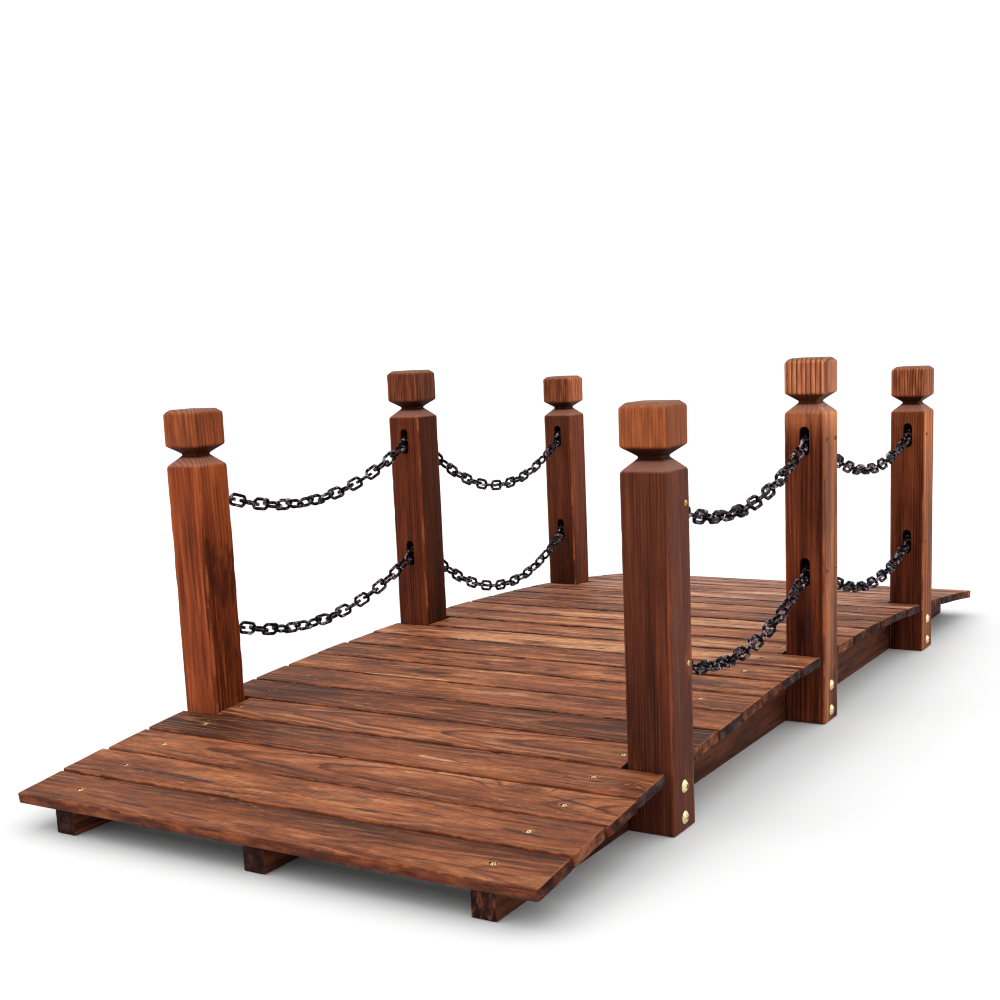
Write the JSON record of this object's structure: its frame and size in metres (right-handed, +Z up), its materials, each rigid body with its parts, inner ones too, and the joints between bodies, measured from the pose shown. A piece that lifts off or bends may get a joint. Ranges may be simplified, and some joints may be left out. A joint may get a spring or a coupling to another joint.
{
  "type": "arched garden footbridge",
  "caption": "Arched timber garden footbridge: crosswise boards on bow-topped stringers, square turned-waist posts at the sides and hanging black chain railings.",
  "frame": {"origin": "on the ground under the middle of the bridge, at the centre of the bounding box's bottom face", "axes": "+X along the bridge, +Y across it to the left-hand railing, +Z up"},
  "size_m": [1.4996, 0.6638, 0.4618],
  "materials": {
    "deck_wood": "brown stained softwood with charred streaks, satin",
    "stringer_wood": "dark brown stained softwood, satin",
    "post_wood": "red-brown stained softwood, satin",
    "chain_metal": "black paint, semi-gloss, scuffed to grey on the edges",
    "bolt_metal": "pale yellow zinc plating, semi-gloss",
    "screw_brass": "satin brass"
  },
  "bodies": {
    "root": {"chain_left_far_lower": "chain_metal", "chain_left_far_upper": "chain_metal", "chain_left_near_lower": "chain_metal", "chain_left_near_upper": "chain_metal", "chain_right_far_lower": "chain_metal", "chain_right_far_upper": "chain_metal", "chain_right_near_lower": "chain_metal", "chain_right_near_upper": "chain_metal", "chain_screws_left": "screw_brass", "chain_screws_right": "screw_brass", "deck_board_01": "deck_wood", "deck_board_02": "deck_wood", "deck_board_03": "deck_wood", "deck_board_04": "deck_wood", "deck_board_05": "deck_wood", "deck_board_06": "deck_wood", "deck_board_07": "deck_wood", "deck_board_08": "deck_wood", "deck_board_09": "deck_wood", "deck_board_10": "deck_wood", "deck_board_11": "deck_wood", "deck_board_12": "deck_wood", "deck_board_13": "deck_wood", "deck_board_14": "deck_wood", "deck_board_15": "deck_wood", "deck_board_16": "deck_wood", "deck_board_17": "deck_wood", "deck_board_18": "deck_wood", "deck_board_19": "deck_wood", "deck_board_20": "deck_wood", "deck_board_21": "deck_wood", "deck_board_22": "deck_wood", "deck_board_23": "deck_wood", "post_bolts_left": "bolt_metal", "post_bolts_right": "bolt_metal", "post_far_left": "post_wood", "post_far_right": "post_wood", "post_middle_left": "post_wood", "post_middle_right": "post_wood", "post_near_left": "post_wood", "post_near_right": "post_wood", "stringer_left": "stringer_wood", "stringer_middle": "stringer_wood", "stringer_right": "stringer_wood"}
  },
  "joints": []
}
